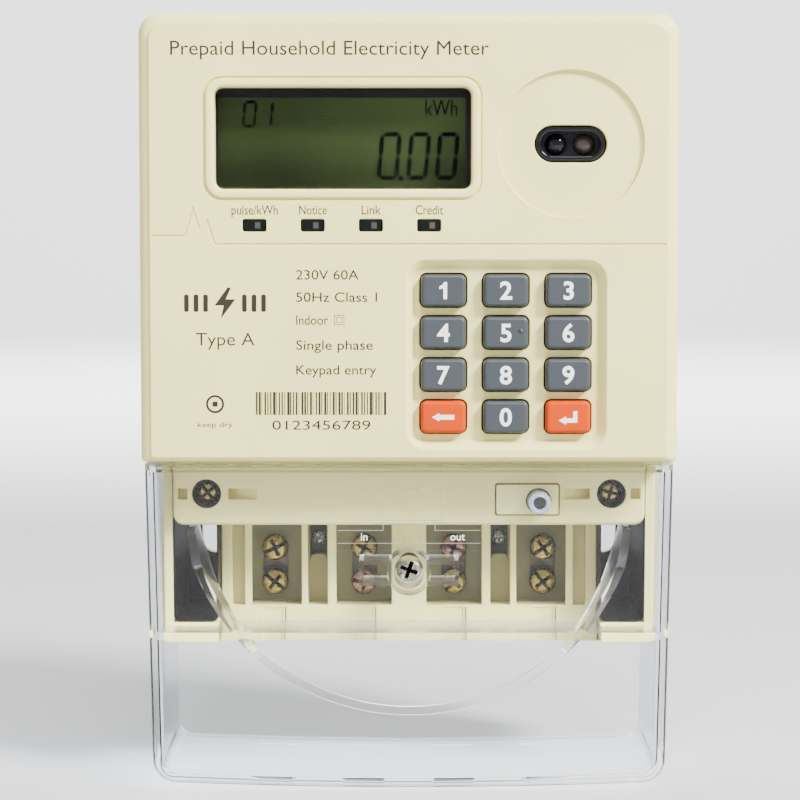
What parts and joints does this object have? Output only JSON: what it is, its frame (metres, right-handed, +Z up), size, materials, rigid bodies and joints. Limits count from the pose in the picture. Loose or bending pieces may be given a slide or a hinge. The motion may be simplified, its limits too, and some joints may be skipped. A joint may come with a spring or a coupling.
{
  "type": "prepaid electricity meter",
  "caption": "Wall-mounted single-phase prepaid energy meter with display window, keypad, optical port, screw terminals and a clear screw-on terminal cover.",
  "frame": {"origin": "centre of the rear mounting plane, half-way up the overall height, with the meter's back at Y = 0", "axes": "+Z up the wall, +Y into the wall, the keypad and display face -Y, +X to the viewer's right"},
  "size_m": [0.124, 0.0565, 0.18],
  "materials": {
    "case_cream": "satin",
    "clear_polycarbonate": "gloss",
    "key_grey": "satin",
    "key_orange": "satin",
    "dark_plastic": "satin",
    "smoked_lens": "gloss",
    "display_glass": "satin",
    "board_green": "satin",
    "terminal_brass": "satin",
    "plated_steel": "bright",
    "bar_copper": "satin",
    "plain_steel": "satin",
    "seal_rubber": "matt"
  },
  "bodies": {
    "case": {"rear_case": "case_cream", "front_cover": "case_cream", "terminal_block": "case_cream", "switch_plate": "case_cream", "case_gasket": "seal_rubber", "keypad_mat": "seal_rubber", "case_screw_left": "plated_steel", "link_screw_left": "plain_steel", "case_screw_right": "plated_steel", "link_screw_right": "plain_steel", "terminal_clamp_1": "terminal_brass", "status_light_1": "smoked_lens", "terminal_clamp_2": "terminal_brass", "status_light_2": "smoked_lens", "terminal_clamp_3": "terminal_brass", "status_light_3": "smoked_lens", "terminal_clamp_4": "terminal_brass", "status_light_4": "smoked_lens", "cover_microswitch": "dark_plastic", "display_window": "clear_polycarbonate", "display_holder": "dark_plastic", "display_panel": "display_glass", "optical_bezel": "dark_plastic", "infrared_emitter": "smoked_lens", "infrared_receiver": "smoked_lens", "main_board": "board_green", "supply_transformer": "dark_plastic", "latching_relay": "dark_plastic", "input_busbar": "bar_copper", "relay_busbar": "bar_copper", "neutral_busbar": "bar_copper", "output_busbar": "bar_copper", "current_shunt": "plain_steel", "storage_capacitor": "dark_plastic", "backup_battery": "plain_steel", "buzzer": "dark_plastic"},
    "hanger": {"hanger": "plain_steel"},
    "terminal_cover": {"terminal_cover": "clear_polycarbonate"},
    "cover_screw": {"cover_screw": "plated_steel"},
    "switch_plunger": {"switch_plunger": "key_grey"},
    "key_1": {"key_1": "key_grey"},
    "key_2": {"key_2": "key_grey"},
    "key_3": {"key_3": "key_grey"},
    "key_4": {"key_4": "key_grey"},
    "key_5": {"key_5": "key_grey"},
    "key_6": {"key_6": "key_grey"},
    "key_7": {"key_7": "key_grey"},
    "key_8": {"key_8": "key_grey"},
    "key_9": {"key_9": "key_grey"},
    "key_back": {"key_back": "key_orange"},
    "key_0": {"key_0": "key_grey"},
    "key_enter": {"key_enter": "key_orange"},
    "terminal_screw_1a": {"terminal_screw_1a": "plated_steel"},
    "terminal_screw_1b": {"terminal_screw_1b": "plated_steel"},
    "terminal_screw_2a": {"terminal_screw_2a": "plated_steel"},
    "terminal_screw_2b": {"terminal_screw_2b": "plated_steel"},
    "terminal_screw_3a": {"terminal_screw_3a": "plated_steel"},
    "terminal_screw_3b": {"terminal_screw_3b": "plated_steel"},
    "terminal_screw_4a": {"terminal_screw_4a": "plated_steel"},
    "terminal_screw_4b": {"terminal_screw_4b": "plated_steel"}
  },
  "joints": [
    {"name": "key_1_press", "type": "slide", "parent": "case", "child": "key_1", "axis": [0, 1, 0], "range_m": [0, 0.0012], "stiffness_N_per_m": 600, "springref_m": -0.0008},
    {"name": "key_2_press", "type": "slide", "parent": "case", "child": "key_2", "axis": [0, 1, 0], "range_m": [0, 0.0012], "stiffness_N_per_m": 600, "springref_m": -0.0008},
    {"name": "key_3_press", "type": "slide", "parent": "case", "child": "key_3", "axis": [0, 1, 0], "range_m": [0, 0.0012], "stiffness_N_per_m": 600, "springref_m": -0.0008},
    {"name": "key_4_press", "type": "slide", "parent": "case", "child": "key_4", "axis": [0, 1, 0], "range_m": [0, 0.0012], "stiffness_N_per_m": 600, "springref_m": -0.0008},
    {"name": "key_5_press", "type": "slide", "parent": "case", "child": "key_5", "axis": [0, 1, 0], "range_m": [0, 0.0012], "stiffness_N_per_m": 600, "springref_m": -0.0008},
    {"name": "key_6_press", "type": "slide", "parent": "case", "child": "key_6", "axis": [0, 1, 0], "range_m": [0, 0.0012], "stiffness_N_per_m": 600, "springref_m": -0.0008},
    {"name": "key_7_press", "type": "slide", "parent": "case", "child": "key_7", "axis": [0, 1, 0], "range_m": [0, 0.0012], "stiffness_N_per_m": 600, "springref_m": -0.0008},
    {"name": "key_8_press", "type": "slide", "parent": "case", "child": "key_8", "axis": [0, 1, 0], "range_m": [0, 0.0012], "stiffness_N_per_m": 600, "springref_m": -0.0008},
    {"name": "key_9_press", "type": "slide", "parent": "case", "child": "key_9", "axis": [0, 1, 0], "range_m": [0, 0.0012], "stiffness_N_per_m": 600, "springref_m": -0.0008},
    {"name": "key_back_press", "type": "slide", "parent": "case", "child": "key_back", "axis": [0, 1, 0], "range_m": [0, 0.0012], "stiffness_N_per_m": 600, "springref_m": -0.0008},
    {"name": "key_0_press", "type": "slide", "parent": "case", "child": "key_0", "axis": [0, 1, 0], "range_m": [0, 0.0012], "stiffness_N_per_m": 600, "springref_m": -0.0008},
    {"name": "key_enter_press", "type": "slide", "parent": "case", "child": "key_enter", "axis": [0, 1, 0], "range_m": [0, 0.0012], "stiffness_N_per_m": 600, "springref_m": -0.0008},
    {"name": "switch_plunger_press", "type": "slide", "parent": "case", "child": "switch_plunger", "axis": [0, 1, 0], "range_m": [0, 0.0015], "stiffness_N_per_m": 400, "springref_m": -0.0008},
    {"name": "terminal_cover_lift_off", "type": "slide", "parent": "case", "child": "terminal_cover", "axis": [0, -1, 0], "range_m": [0, 0.08]},
    {"name": "cover_screw_turn", "type": "hinge", "parent": "terminal_cover", "child": "cover_screw", "pos_m": [0, -0.0453, -0.0392], "axis": [0, 1, 0], "continuous": true},
    {"name": "terminal_screw_1a_turn", "type": "hinge", "parent": "case", "child": "terminal_screw_1a", "pos_m": [-0.03255, -0.0244, -0.0365], "axis": [0, 1, 0], "continuous": true},
    {"name": "terminal_screw_1b_turn", "type": "hinge", "parent": "case", "child": "terminal_screw_1b", "pos_m": [-0.03255, -0.0244, -0.0448], "axis": [0, 1, 0], "continuous": true},
    {"name": "terminal_screw_2a_turn", "type": "hinge", "parent": "case", "child": "terminal_screw_2a", "pos_m": [-0.01085, -0.0244, -0.0365], "axis": [0, 1, 0], "continuous": true},
    {"name": "terminal_screw_2b_turn", "type": "hinge", "parent": "case", "child": "terminal_screw_2b", "pos_m": [-0.01085, -0.0244, -0.0448], "axis": [0, 1, 0], "continuous": true},
    {"name": "terminal_screw_3a_turn", "type": "hinge", "parent": "case", "child": "terminal_screw_3a", "pos_m": [0.01085, -0.0244, -0.0365], "axis": [0, 1, 0], "continuous": true},
    {"name": "terminal_screw_3b_turn", "type": "hinge", "parent": "case", "child": "terminal_screw_3b", "pos_m": [0.01085, -0.0244, -0.0448], "axis": [0, 1, 0], "continuous": true},
    {"name": "terminal_screw_4a_turn", "type": "hinge", "parent": "case", "child": "terminal_screw_4a", "pos_m": [0.03255, -0.0244, -0.0365], "axis": [0, 1, 0], "continuous": true},
    {"name": "terminal_screw_4b_turn", "type": "hinge", "parent": "case", "child": "terminal_screw_4b", "pos_m": [0.03255, -0.0244, -0.0448], "axis": [0, 1, 0], "continuous": true},
    {"name": "hanger_extend", "type": "slide", "parent": "case", "child": "hanger", "axis": [0, 0, 1], "range_m": [0, 0.014]}
  ]
}
